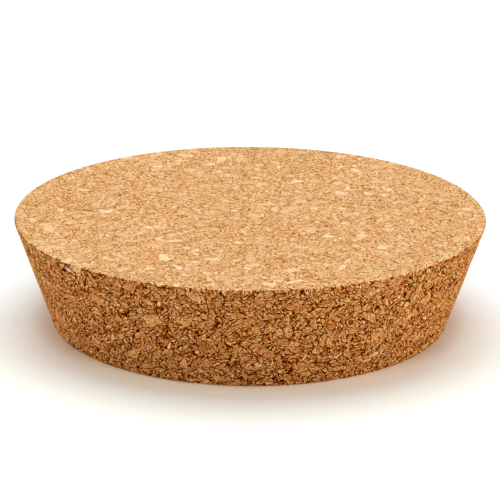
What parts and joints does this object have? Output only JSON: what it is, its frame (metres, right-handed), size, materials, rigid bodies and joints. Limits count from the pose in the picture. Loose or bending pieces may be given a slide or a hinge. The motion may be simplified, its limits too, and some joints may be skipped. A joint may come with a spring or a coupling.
{
  "type": "cork stopper",
  "caption": "Wide, shallow tapered stopper of agglomerated cork that plugs and seals the round mouth of a jar.",
  "frame": {"origin": "centre of the narrow face, which the stopper stands on", "axes": "+Z along the axis of the taper, from the narrow face up to the wide face; the chip in the rim is in the -X, -Y quarter"},
  "size_m": [0.13, 0.13, 0.03],
  "materials": {
    "cork": "matte"
  },
  "bodies": {
    "root": {"stopper": "cork"}
  },
  "joints": []
}
